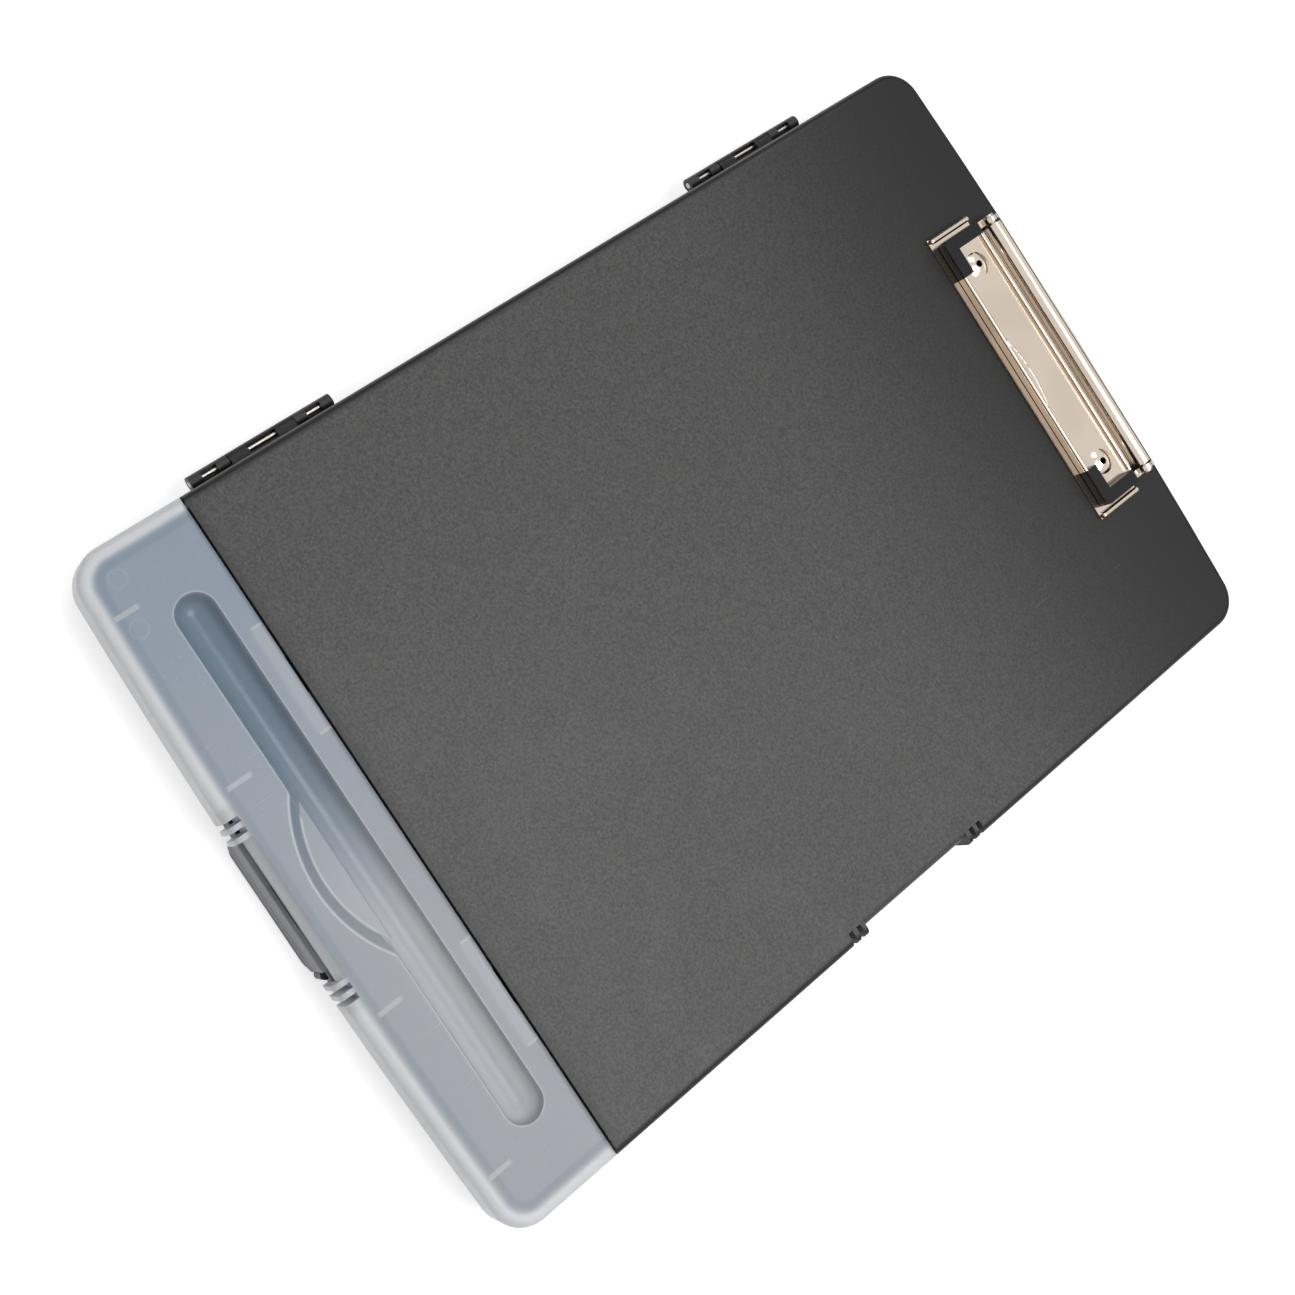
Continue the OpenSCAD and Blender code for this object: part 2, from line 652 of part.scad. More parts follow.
module pen_lid() color(frosted_pp) difference() {
    union() {
        difference() {
            intersection() {
                box_block(0, parting_z, body_h, lid_edge_r);
                union() {
                    pen_side_of(pen_axis_y);
                    slab([-box_w, pen_axis_y - 1, 0], [box_w, pen_axis_y + pen_bead_r, pen_axis_z]);
                    translate([0, pen_axis_y, pen_axis_z]) rod_x(-half_w, half_w, pen_bead_r);
                }
            }
            difference() {
                box_block(lid_wall, parting_z - past, lid_under, lid_edge_r - lid_wall / 2);
                at_end_latch() latch_wall();
                translate([0, pen_axis_y, pen_axis_z]) rod_x(-half_w, half_w, pen_bead_r);
            }
        }
        intersection() {
            union() {
                groove_shape(groove_wall);
                scoop_shape(groove_wall);
            }
            slab([-half_w, -box_l / 2, parting_z], [half_w, pen_axis_y, body_h - 0.2]);
        }
        for (side = [-1, 1]) {
            pen_rib(side * outer_rib_x);
            pen_rib(side * inner_rib_x);
        }
        pen_webs();
    }
    groove_shape(0);
    scoop_shape(0);
    at_end_latch() latch_cut();
    pen_post_room();
    pen_pin_bores(pen_pin_d / 2 + pin_play);
}

// ---------------------------------------------------------------- latches

module side_latch() color(dark_pp) at_side_latch() latch_flap();
module end_latch() color(frosted_pp) at_end_latch() latch_flap();

// ---------------------------------------------------------------- pins

module lower_hinge_pin() color(steel) hinge_pin(lower_hinge_y);
module upper_hinge_pin() color(steel) hinge_pin(upper_hinge_y);
module pen_hinge_pin_left() color(steel) pen_pin(-1);
module pen_hinge_pin_right() color(steel) pen_pin(1);
module side_latch_pin() color(steel) at_side_latch() latch_pin();
module end_latch_pin() color(steel) at_end_latch() latch_pin();

// ---------------------------------------------------------------- clip

// Section of the base plate, y back and z up: flat, concave bend and rolled rear edge
module plate_section() {
    translate([plate_y, body_h]) square([rod_y - plate_y, sheet_t]);
    difference() {
        union() {
            translate([rod_y, rod_z]) circle(roll_r);
            translate([roll_fillet_y, body_h]) square([roll_r, roll_fillet_r + sheet_t]);
        }
        translate([rod_y, rod_z]) circle(roll_in_r);
        translate([roll_fillet_y, plate_top + roll_fillet_r]) circle(roll_fillet_r);
    }
}

// Base plate: sheet under the lever, a raised bar on each side and the roll round the rod
module clip_plate() color(nickel) difference() {
    plate_back = rod_y - roll_r - 3.2;
    union() {
        translate([-roll_w / 2, 0, 0]) rotate([90, 0, 90]) linear_extrude(roll_w) plate_section();
        slab([-clip_w / 2, plate_y, body_h], [clip_w / 2, plate_back, plate_top]);
        for (side = [0, 1]) mirror([side, 0, 0]) {
            bar_r = side_bar_w / 2;
            bar_h = side_bar_h - bar_r;
            translate([clip_w / 2 - bar_r, 0, body_h]) {
                slab([-bar_r, plate_y + bar_r, 0], [bar_r, plate_back - bar_r, bar_h]);
                translate([0, 0, bar_h]) rod_y_dir(plate_y + bar_r, plate_back - bar_r, bar_r);
                for (y = [plate_y + bar_r, plate_back - bar_r]) translate([0, y, 0]) {
                    cylinder(h = bar_h, r = bar_r);
                    translate([0, 0, bar_h]) sphere(bar_r);
                }
            }
            // end walls of the roll, which the rod turns in
            translate([0, rod_y, rod_z]) rod_x(roll_w / 2 - sheet_t, roll_w / 2, roll_in_r + sheet_t / 2);
        }
    }
    translate([0, rod_y, rod_z]) rod_x(-clip_w, clip_w, rod_d / 2 + pin_play);
    for (side = [-1, 1]) translate([side * rivet_x, rivet_y, body_h - past])
        cylinder(h = sheet_t + 2 * past, r = rivet_d / 2);
}

// The lever's flat frame: front strip and one arm on each side
module lever_frame() {
    slab([-arm_x1, jaw_y, strip_z], [arm_x1, jaw_y + strip_w, strip_z + sheet_t]);
    for (side = [0, 1]) mirror([side, 0, 0])
        slab([arm_x0, jaw_y + strip_w / 2, strip_z], [arm_x1, rod_y, strip_z + sheet_t]);
}

// Lever: frame, upright lip with its thumb bump, and an ear round the rod on each side
module clip_lever() color(nickel) difference() {
    lip_x = corner_x1 - corner_front_l;
    union() {
        lever_frame();
        slab([-lip_x, jaw_y - sheet_t / 2, jaw_z], [lip_x, jaw_y + sheet_t / 2, lip_top - 0.6]);
        translate([0, jaw_y + 0.2, lip_top - 0.8]) rod_x(-lip_x, lip_x, 0.8);
        translate([0, jaw_y + 0.6, lip_top - thumb_drop]) {
            intersection() {
                translate([0, thumb_depth - thumb_r, -thumb_t]) cylinder(h = thumb_t, r = thumb_r);
                slab([-thumb_w / 2, -0.2, -2], [thumb_w / 2, thumb_depth + 1, 2]);
            }
            // rolled rim along the bump's edge
            translate([0, thumb_depth - thumb_r, -thumb_t / 2]) rotate([0, 0, 90 - thumb_half_angle])
                rotate_extrude(angle = 2 * thumb_half_angle, $fn = arc_fn)
                    translate([thumb_r, 0]) circle(thumb_rim_r, $fn = 24);
        }
        for (side = [0, 1]) mirror([side, 0, 0]) translate([0, rod_y, rod_z])
            rod_x(arm_x0, arm_x0 + ear_t, ear_r);
    }
    translate([0, rod_y, rod_z]) rod_x(-clip_w, clip_w, rod_d / 2);
}

module clip_rod() color(steel) translate([0, rod_y, rod_z]) {
    rod_x(-rod_len / 2, rod_len / 2, rod_d / 2);
    for (side = [0, 1]) mirror([side, 0, 0]) rod_x(arm_x0 + ear_t, rod_len / 2, rod_d / 2 + 0.6);
}

// Two close-wound coils round the rod inside the roll, each with a tail on the roll's wall
module clip_spring() color(steel) for (side = [-1, 1]) translate([side * coil_x, rod_y, rod_z]) {
    coil_len = spring_turns * wire_d;
    for (k = [0 : spring_turns - 1])
        translate([(k + 0.5) * wire_d - coil_len / 2, 0, 0]) rotate([0, 90, 0])
            rotate_extrude() translate([coil_r, 0]) circle(wire_d / 2 + 0.02, $fn = 24);
    translate([side * (coil_len - wire_d) / 2, 0, -roll_in_r])
        cylinder(h = roll_in_r - coil_r, r = wire_d / 2);
}

// Plastic corner that wraps the lever's front corner
module clip_corner(side) {
    mirror([side < 0 ? 1 : 0, 0, 0]) difference() {
        y0 = jaw_y - sheet_t / 2;
        x0 = corner_x1 - corner_arm_w;
        h = lip_top + 0.1 - jaw_z;
        translate([0, 0, jaw_z]) linear_extrude(h) {
            translate([x0, y0 + corner_round]) square([corner_arm_w, corner_side_l - corner_round]);
            translate([corner_x1 - corner_front_l, y0])
                square([corner_front_l - corner_round, corner_arm_w]);
            translate([corner_x1 - corner_round, y0 + corner_round]) circle(corner_round);
        }
        lever_frame();
    }
}

module clip_corner_left() color(dark_pp) clip_corner(-1);
module clip_corner_right() color(dark_pp) clip_corner(1);

// Hollow rivets: low domed heads on the plate, shanks through the lid
module clip_rivets() color(nickel) for (side = [-1, 1]) translate([side * rivet_x, rivet_y, 0])
    difference() {
        foot_z = lid_under - washer_t - 0.6;
        union() {
            intersection() {
                translate([0, 0, plate_top + rivet_head_h - rivet_dome_r]) sphere(rivet_dome_r, $fn = 128);
                translate([0, 0, plate_top]) cylinder(h = rivet_head_h + 1, r = rivet_head_d);
            }
            translate([0, 0, foot_z]) cylinder(h = plate_top + eps - foot_z, r = rivet_d / 2);
            translate([0, 0, foot_z]) cylinder(h = 0.6, r = rivet_d / 2 + 1);
        }
        translate([0, 0, foot_z - past]) cylinder(h = body_h, r = rivet_hole_d / 2);
    }

module rivet_washers() color(steel) for (side = [-1, 1])
    translate([side * rivet_x, rivet_y, lid_under - washer_t]) difference() {
        cylinder(h = washer_t, r = washer_d / 2);
        translate([0, 0, -past]) cylinder(h = washer_t + 2 * past, r = rivet_d / 2);
    }

// ---------------------------------------------------------------- drawing

base_tray();
main_lid();
pen_lid();
side_latch();
end_latch();
lower_hinge_pin();
upper_hinge_pin();
pen_hinge_pin_left();
pen_hinge_pin_right();
side_latch_pin();
end_latch_pin();
clip_plate();
clip_lever();
clip_rod();
clip_spring();
clip_corner_left();
clip_corner_right();
clip_rivets();
rivet_washers();
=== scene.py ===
# %% [markdown]
# # A storage clipboard box
#
# A flat document case whose lid is a writing board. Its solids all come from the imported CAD
# model and stay as they are. This script gives them their finishes and sets up a plain
# studio with a camera, two lamps and a pale floor. Everything is in metres, in the same
# frame as the CAD: +X points from the hinge side to the latch side, +Y from the pen end to
# the clip end, and the base rests on z = 0.

import math

import bmesh
import bpy
from mathutils import Matrix, Vector


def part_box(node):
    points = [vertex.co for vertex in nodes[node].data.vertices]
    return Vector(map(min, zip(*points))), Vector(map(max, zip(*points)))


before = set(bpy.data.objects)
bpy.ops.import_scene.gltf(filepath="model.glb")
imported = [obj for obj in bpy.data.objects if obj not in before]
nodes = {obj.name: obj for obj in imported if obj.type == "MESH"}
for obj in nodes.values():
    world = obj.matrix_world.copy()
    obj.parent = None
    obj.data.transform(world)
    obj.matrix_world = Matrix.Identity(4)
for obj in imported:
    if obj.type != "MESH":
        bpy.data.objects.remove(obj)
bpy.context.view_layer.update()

# %% [markdown]
# ## The camera
#
# The box is seen from above its pen end, turned well over to the left. Tilting the camera
# could bring the box to the middle of the view, but it would change the perspective too.
# Lens shift moves only the frame, the way a picture cropped from a larger one looks.

# %% The camera
SENSOR_MM = 36.0
LENS_MM = 50.403
LENS_SHIFT = (0.0405, -0.0844)
CAMERA_PLACE = (-0.07402, -0.27131, 0.55858)
CAMERA_TURN = (11.1335, -21.9278, 54.0709)

lens_data = bpy.data.cameras.new("studio_camera")
lens_data.sensor_width = SENSOR_MM
lens_data.lens = LENS_MM
lens_data.shift_x, lens_data.shift_y = LENS_SHIFT
camera = bpy.data.objects.new("studio_camera", lens_data)
camera.location = CAMERA_PLACE
camera.rotation_euler = [math.radians(angle) for angle in CAMERA_TURN]
bpy.context.scene.collection.objects.link(camera)
bpy.context.scene.camera = camera
bpy.context.scene.view_settings.view_transform = "Standard"
print("Camera", round(camera.location.length, 3), "m from the middle of the base")

# %% [markdown]
# ## Lamps
#
# One broad softbox hangs high above the latch side and towards the clip end. Its blurred
# reflection falls on the pen end and the middle of the black board. A smaller and weaker
# softbox above the hinge side fills the shadows and lights the round edge there. Both are
# area lamps, whose size sets how soft their shadows and reflections are.

# %% Lamps
def softbox(name, place, aim, size, watts):
    """A square area lamp at place that faces aim."""
    data = bpy.data.lights.new(name, "AREA")
    data.shape = "SQUARE"
    data.size = size
    data.energy = watts
    lamp = bpy.data.objects.new(name, data)
    lamp.location = place
    lamp.rotation_euler = (Vector(aim) - Vector(place)).to_track_quat("-Z", "Y").to_euler()
    bpy.context.scene.collection.objects.link(lamp)
    return lamp


key = softbox("key_softbox", place=(0.47, 0.26, 1.50), aim=(0.0, -0.05, 0.0),
              size=0.9, watts=12.0)
fill = softbox("fill_softbox", place=(-0.75, 0.65, 1.30), aim=(0.0, 0.0, 0.0),
               size=0.5, watts=3.0)
print("Lamps:", key.data.energy, fill.data.energy, "W")

# %% [markdown]
# ## Small helpers for shader nodes
#
# A finish is a net of nodes, and nearly every node does one small sum. Functions that each
# place one node, take a socket or a number, and give back the result's socket let the rest
# of the script read like formulas.

# %% Sums
def feed(tree, value, socket):
    """Sets a socket to a number or a colour, or links another socket to it."""
    if isinstance(value, (int, float)):
        socket.default_value = value
    elif isinstance(value, tuple):
        socket.default_value = (*value, 1.0)
    else:
        tree.links.new(value, socket)


def maths(tree, operation, a, b=None):
    """One Math node. a and b are sockets or numbers."""
    node = tree.nodes.new("ShaderNodeMath")
    node.operation = operation
    feed(tree, a, node.inputs[0])
    if b is not None:
        feed(tree, b, node.inputs[1])
    return node.outputs[0]


def chain(tree, operation, values):
    """The same Math operation over two or more values, from the first to the last."""
    result, *others = values
    for value in others:
        result = maths(tree, operation, result, value)
    return result


def most(tree, *values):
    """The largest of the values."""
    return chain(tree, "MAXIMUM", values)


def product(tree, *values):
    """All the values multiplied."""
    return chain(tree, "MULTIPLY", values)


def length_of(tree, a, b):
    """The length of the arrow with sides a and b."""
    return maths(tree, "SQRT", maths(tree, "ADD", maths(tree, "POWER", a, 2.0),
                                     maths(tree, "POWER", b, 2.0)))


print("Helpers for sums are ready")

# %% Ramps, places and colours
COLOUR_LOW, COLOUR_HIGH, COLOUR_RESULT = 6, 7, 2    # the Mix node's colour sockets


def ramp(tree, value, low, high, to_low=0.0, to_high=1.0):
    """A smooth Map Range from low..high to to_low..to_high."""
    node = tree.nodes.new("ShaderNodeMapRange")
    node.interpolation_type = "SMOOTHSTEP"
    for label, part in (("Value", value), ("From Min", low), ("From Max", high),
                        ("To Min", to_low), ("To Max", to_high)):
        feed(tree, part, node.inputs[label])
    return node.outputs["Result"]


def object_place(tree):
    """The place on the object, in metres. It stays put when the object moves."""
    return tree.nodes.new("ShaderNodeTexCoord").outputs["Object"]


def object_axes(tree):
    """The same place as sockets named X, Y and Z."""
    axes = tree.nodes.new("ShaderNodeSeparateXYZ")
    tree.links.new(object_place(tree), axes.inputs[0])
    return axes.outputs


def noise(tree, place, scale, detail):
    """A Noise node at that place."""
    node = tree.nodes.new("ShaderNodeTexNoise")
    tree.links.new(place, node.inputs["Vector"])
    feed(tree, scale, node.inputs["Scale"])
    node.inputs["Detail"].default_value = detail
    return node


def mix_colour(tree, share, low, high):
    """A colour that goes from low to high with share. low and high are sockets or colours."""
    node = tree.nodes.new("ShaderNodeMix")
    node.data_type = "RGBA"
    tree.links.new(share, node.inputs[0])
    feed(tree, low, node.inputs[COLOUR_LOW])
    feed(tree, high, node.inputs[COLOUR_HIGH])
    return node.outputs[COLOUR_RESULT]


def start_finish(name, **constants):
    """A material with a Principled shader and its constants set on its own sockets."""
    finish = bpy.data.materials.new(name)
    finish.use_nodes = True
    shader = finish.node_tree.nodes["Principled BSDF"]
    for label, value in constants.items():
        feed(finish.node_tree, value, shader.inputs[label.replace("_", " ")])
    return finish, finish.node_tree, shader


print("Helpers for ramps, places and colours are ready")

# %% [markdown]
# ## World and floor
#
# The box lies on a white table in a white room. A floor and a world of full strength would
# also throw so much light on the box that its shading would wash out. The Light Path node
# tells which kind of ray has arrived, so the camera, mirrors and clear plastic see white,
# while diffuse surfaces get a gentler light.

# %% World and floor
WHITE = (1.0, 1.0, 1.0)
WORLD_SEEN = 1.0
WORLD_FELT = 0.55
FLOOR_PAINT = (0.86, 0.86, 0.86)
FLOOR_SEEN = 0.56
FLOOR_REACH = 3.0
MATTE = 0.9


def by_ray(tree, seen, felt):
    """seen for camera, glossy and transmission rays, felt for all others."""
    path = tree.nodes.new("ShaderNodeLightPath")
    seeing = most(tree, path.outputs["Is Camera Ray"], path.outputs["Is Glossy Ray"],
                  path.outputs["Is Transmission Ray"])
    return ramp(tree, seeing, 0.0, 1.0, felt, seen)


def studio_piece(name, shape, paint):
    """A piece of the studio, not of the box, made from a bmesh."""
    data = bpy.data.meshes.new(name)
    shape.to_mesh(data)
    shape.free()
    data.materials.append(paint)
    piece = bpy.data.objects.new(name, data)
    bpy.context.scene.collection.objects.link(piece)
    return piece


world = bpy.data.worlds.new("studio_world")
bpy.context.scene.world = world
world.use_nodes = True
backdrop = world.node_tree.nodes["Background"]
feed(world.node_tree, WHITE, backdrop.inputs["Color"])
feed(world.node_tree, by_ray(world.node_tree, WORLD_SEEN, WORLD_FELT),
     backdrop.inputs["Strength"])

floor_white, floor_tree, floor_shader = start_finish(
    "floor_white", Base_Color=FLOOR_PAINT, Roughness=MATTE, Emission_Color=WHITE)
feed(floor_tree, by_ray(floor_tree, FLOOR_SEEN, 0.0), floor_shader.inputs["Emission Strength"])
floor_shape = bmesh.new()
bmesh.ops.create_grid(floor_shape, x_segments=1, y_segments=1, size=FLOOR_REACH)
studio_piece("studio_floor", floor_shape, floor_white)
print("The floor reaches", FLOOR_REACH, "m each way")

# %% [markdown]
# ## A dark surround for the reflections
#
# Round edges and bright metal show whatever stands near the horizon. In a white room they
# would fade into the background, so studios stand black card round the set. One low open
# ring of it does that here. Only mirror-like rays see it, so it darkens no background and
# throws no shadow.

# %% The dark surround
CARD_R = 1.1
CARD_HEIGHT = 0.38
CARD_MIDDLE_Z = 0.20
CARD_PAINT = (0.015, 0.015, 0.015)

card_black = start_finish("card_black", Base_Color=CARD_PAINT, Roughness=MATTE)[0]
card_shape = bmesh.new()
bmesh.ops.create_cone(card_shape, cap_ends=False, segments=96, radius1=CARD_R, radius2=CARD_R,
                      depth=CARD_HEIGHT, matrix=Matrix.Translation((0.0, 0.0, CARD_MIDDLE_Z)))
card = studio_piece("studio_black_card", card_shape, card_black)
for ray_kind in ("camera", "diffuse", "transmission", "shadow", "volume_scatter"):
    setattr(card, "visible_" + ray_kind, False)
print("Black card reaches", CARD_MIDDLE_Z + CARD_HEIGHT / 2, "m up at", CARD_R, "m out")

# %% [markdown]
# ## Effects shared by several finishes
#
# Moulded polypropylene, frosted or black, has a fine spark-eroded grain, and everything
# that is handled picks up faint scuffs and a little dust. Each such effect is a node group
# with named sockets, built once and placed in each material with its own values, so that a
# better grain has to be made only once. A group puts out only masks, values and heights.
# The shader itself stays in the material.

# %% Helpers for groups
def start_group(name, inputs, outputs):
    """A shader node group with float inputs {name: default} and float outputs."""
    group = bpy.data.node_groups.new(name, "ShaderNodeTree")
    for label, value in inputs.items():
        socket = group.interface.new_socket(label, in_out="INPUT", socket_type="NodeSocketFloat")
        socket.default_value = value
    for label in outputs:
        group.interface.new_socket(label, in_out="OUTPUT", socket_type="NodeSocketFloat")
    given = group.nodes.new("NodeGroupInput").outputs
    wanted = group.nodes.new("NodeGroupOutput").inputs
    return group, given, wanted


def place_group(tree, group, **values):
    """The outputs of a group node with its inputs set."""
    node = tree.nodes.new("ShaderNodeGroup")
    node.node_tree = group
    for label, value in values.items():
        node.inputs[label].default_value = value
    return node.outputs


print("Helpers for groups are ready")

# %% [markdown]
# ## The moulded grain
#
# A mould's face is etched by sparks, which leaves pits under a millimetre wide. An image of
# leather or sand could stand for them, but a noise has no seams and no limit of resolution.
# A second, slow noise is a drift of gloss, where the mould was polished unevenly.

# %% The moulded grain
GRAIN_CELLS_PER_M = 1300.0
DRIFT_PER_M = 16.0
GRAIN_ROUGHNESS = 0.6
DRIFT_RANGE = (0.3, 0.7)

grain, grain_given, grain_wanted = start_group(
    "moulded_grain", {"Cells_per_metre": GRAIN_CELLS_PER_M, "Drift_per_metre": DRIFT_PER_M},
    ["Height", "Drift"])
cells = noise(grain, object_place(grain), grain_given["Cells_per_metre"], detail=3.0)
cells.inputs["Roughness"].default_value = GRAIN_ROUGHNESS
drift = noise(grain, object_place(grain), grain_given["Drift_per_metre"], detail=2.0)
feed(grain, cells.outputs["Fac"], grain_wanted["Height"])
feed(grain, ramp(grain, drift.outputs["Fac"], *DRIFT_RANGE), grain_wanted["Drift"])
print("Group", grain.name, "has pits", round(1000 / GRAIN_CELLS_PER_M, 2), "mm wide")

# %% [markdown]
# ## Handling marks
#
# Short fine scratches run every way across a board that papers and sleeves slide over. A
# noise that is stretched many times along one direction reads as scratches, and a second
# coarse noise breaks them into patches. Two turned copies keep them from looking combed.

# %% Handling marks
STROKES_PER_M = 30.0
STROKE_TURNS = (24.0, -51.0)
STROKE_STRETCH = 60.0
STROKE_RANGE = (0.70, 0.76)
PATCHES_PER_M = 34.0
PATCH_RANGE = (0.50, 0.66)

marks, marks_given, marks_wanted = start_group(
    "handling_marks", {"Amount": 0.5, "Strokes_per_metre": STROKES_PER_M},
    ["Scratches", "Scuffs"])
strokes = []
for turn in STROKE_TURNS:
    lay = marks.nodes.new("ShaderNodeMapping")
    lay.inputs["Rotation"].default_value = (0.0, 0.0, math.radians(turn))
    lay.inputs["Scale"].default_value = (STROKE_STRETCH, 1.0, STROKE_STRETCH)
    marks.links.new(object_place(marks), lay.inputs["Vector"])
    streak = noise(marks, lay.outputs["Vector"], marks_given["Strokes_per_metre"], detail=2.0)
    strokes.append(ramp(marks, streak.outputs["Fac"], *STROKE_RANGE))
patches = noise(marks, object_place(marks), PATCHES_PER_M, detail=4.0)
worn = ramp(marks, patches.outputs["Fac"], *PATCH_RANGE)
feed(marks, product(marks, most(marks, *strokes), worn, marks_given["Amount"]),
     marks_wanted["Scratches"])
feed(marks, product(marks, worn, marks_given["Amount"]), marks_wanted["Scuffs"])
print("Group", marks.name, "lays its scratches", len(STROKE_TURNS), "ways")

# %% [markdown]
# ## Dust and fingermarks
#
# Dust is specks a few tenths of a millimetre wide, far apart, and a fingermark is a soft
# blotch. Voronoi cells give each speck its own place, and a slow noise gives the blotches.

# %% Dust and fingermarks
SPECKS_PER_M = 420.0
SPECK_RANGE = (0.06, 0.13)      # how far from its cell's point a speck fades out
BLOTCHES_PER_M = 55.0
BLOTCH_RANGE = (0.45, 0.75)

dust, dust_given, dust_wanted = start_group(
    "dust_and_fingermarks", {"Specks": 0.3, "Blotches": 0.3}, ["Specks", "Blotches"])
points = dust.nodes.new("ShaderNodeTexVoronoi")
points.inputs["Scale"].default_value = SPECKS_PER_M
dust.links.new(object_place(dust), points.inputs["Vector"])
speck = ramp(dust, points.outputs["Distance"], *SPECK_RANGE, 1.0, 0.0)
smears = noise(dust, object_place(dust), BLOTCHES_PER_M, detail=1.0)
blotch = ramp(dust, smears.outputs["Fac"], *BLOTCH_RANGE)
feed(dust, product(dust, speck, dust_given["Specks"]), dust_wanted["Specks"])
feed(dust, product(dust, blotch, dust_given["Blotches"]), dust_wanted["Blotches"])
print("Group", dust.name, "has a speck every", round(1000 / SPECKS_PER_M, 1), "mm")

# %% [markdown]
# ## The distance in from the box's outline
#
# The rim of both lids looks different from their middle, all the way round. Vertex colours
# could mark it, but a CAD mesh is left as it is and has few vertices there. A formula works
# on any mesh. The outline is a rounded rectangle, so its signed distance is that of a
# smaller rectangle less the corner's radius. The long bow of the ends is only 3 mm, so a
# parabola is added to the length.

# %% The distance in from the outline
HALF_WIDTH, HALF_LENGTH, LID_TOP_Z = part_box("main_lid")[1]
CORNER_R = 0.012
END_BOW = 0.003

rim, rim_given, rim_wanted = start_group(
    "distance_from_rim", {"Half_width": HALF_WIDTH, "Half_length": HALF_LENGTH,
                          "Corner": CORNER_R, "Bow": END_BOW}, ["Distance"])
rim_axes = object_axes(rim)
across = maths(rim, "ABSOLUTE", rim_axes["X"])
along = maths(rim, "ABSOLUTE", rim_axes["Y"])
part_way = maths(rim, "DIVIDE", across, rim_given["Half_width"])
bowed = maths(rim, "ADD", along,
              product(rim, rim_given["Bow"], maths(rim, "POWER", part_way, 2.0)))
over_x = maths(rim, "SUBTRACT", across,
               maths(rim, "SUBTRACT", rim_given["Half_width"], rim_given["Corner"]))
over_y = maths(rim, "SUBTRACT", bowed,
               maths(rim, "SUBTRACT", rim_given["Half_length"], rim_given["Corner"]))
outside = length_of(rim, most(rim, over_x, 0.0), most(rim, over_y, 0.0))
inside = maths(rim, "MINIMUM", most(rim, over_x, over_y), 0.0)
signed = maths(rim, "SUBTRACT", maths(rim, "ADD", outside, inside), rim_given["Corner"])
feed(rim, product(rim, signed, -1.0), rim_wanted["Distance"])
print("Group", rim.name, "for a lid", round(2 * HALF_WIDTH, 3), "m wide")

# %% [markdown]
# ## Black grained plastic
#
# The board and the tray are black polypropylene with a fine matte grain. A dark colour with
# a bump alone would look like smooth paint from further away, where single pits are too
# small to see, so the grain changes the colour a little too. Rubbing greys it in thin
# scratches, and specks of dust are caught in it.
#
# The board is given a blacker tone at its clip end, round its outline and along the joint.
# That is painted shade: the light falling off towards the clip end, a dark reflection on its
# rounded edge, and the shade beside the joint with the pen lid.

# %% Where shade is painted on the board
BOARD_END_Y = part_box("main_lid")[0].y
# Painted shade: light falling off at the clip end, a dark reflection on the edge, shade by the
# joint.
CLIP_END_SHADE_FADE = (0.040, 0.172)              # Y where the blacker clip end starts and is full
EDGE_SHADE_FADE = (0.0012, 0.0040)                # distance in from the outline
EDGE_SHADE_SHARE = 0.95
JOINT_SHADE_FADE = (BOARD_END_Y + 0.0004, BOARD_END_Y + 0.0038)
JOINT_SHADE_SHARE = 0.40


def painted_shade_places(tree):
    """1 where the painted shade on the board is darkest, 0 over its middle."""
    along_board = object_axes(tree)["Y"]
    shade_by_clip = ramp(tree, along_board, *CLIP_END_SHADE_FADE)
    shade_by_edge = ramp(tree, place_group(tree, rim)["Distance"], *EDGE_SHADE_FADE, EDGE_SHADE_SHARE, 0.0)
    shade_by_joint = ramp(tree, along_board, *JOINT_SHADE_FADE, JOINT_SHADE_SHARE, 0.0)
    return most(tree, shade_by_clip, shade_by_edge, shade_by_joint)


print("The board ends at y =", round(BOARD_END_Y, 4))

# %% Black plastic
PLASTIC_IOR = 1.49
GRAIN_SPREAD = (0.14, 0.86)
BLACK_GRAIN_DEPTH = 0.00006
BLACK_SPECKS = 0.10
SCRATCH_GREY = (0.13, 0.13, 0.135)
DUST_GREY = (0.16, 0.16, 0.165)
SCUFF_POLISH = 0.08
DRIFT_DULLING = 0.04


def bump(tree, shader, height, depth):
    """Feeds a Bump node of that depth in metres to the shader's normal."""
    node = tree.nodes.new("ShaderNodeBump")
    node.inputs["Strength"].default_value = 1.0
    node.inputs["Distance"].default_value = depth
    tree.links.new(height, node.inputs["Height"])
    tree.links.new(node.outputs["Normal"], shader.inputs["Normal"])


def black_plastic(name, pit, peak, rough, scuffs, painted_shade_tone=None, ior=PLASTIC_IOR):
    """Black polypropylene. pit and peak are the colours at the grain's two ends."""
    finish, tree, shader = start_finish(name, IOR=ior)
    texture = place_group(tree, grain)
    wear = place_group(tree, marks, Amount=scuffs)
    specks = place_group(tree, dust, Specks=BLACK_SPECKS)["Specks"]
    base = mix_colour(tree, ramp(tree, texture["Height"], *GRAIN_SPREAD), pit, peak)
    # Painted shade: the board darkens to this tone at its clip end, round its edge and by the
    # joint.
    if painted_shade_tone:
        base = mix_colour(tree, painted_shade_places(tree), base, painted_shade_tone)
    rubbed = mix_colour(tree, wear["Scratches"], base, SCRATCH_GREY)
    feed(tree, mix_colour(tree, specks, rubbed, DUST_GREY), shader.inputs["Base Color"])
    polished = maths(tree, "SUBTRACT", rough, product(tree, wear["Scuffs"], SCUFF_POLISH))
    drifted = maths(tree, "ADD", polished, product(tree, texture["Drift"], DRIFT_DULLING))
    feed(tree, drifted, shader.inputs["Roughness"])
    bump(tree, shader, texture["Height"], BLACK_GRAIN_DEPTH)
    return finish
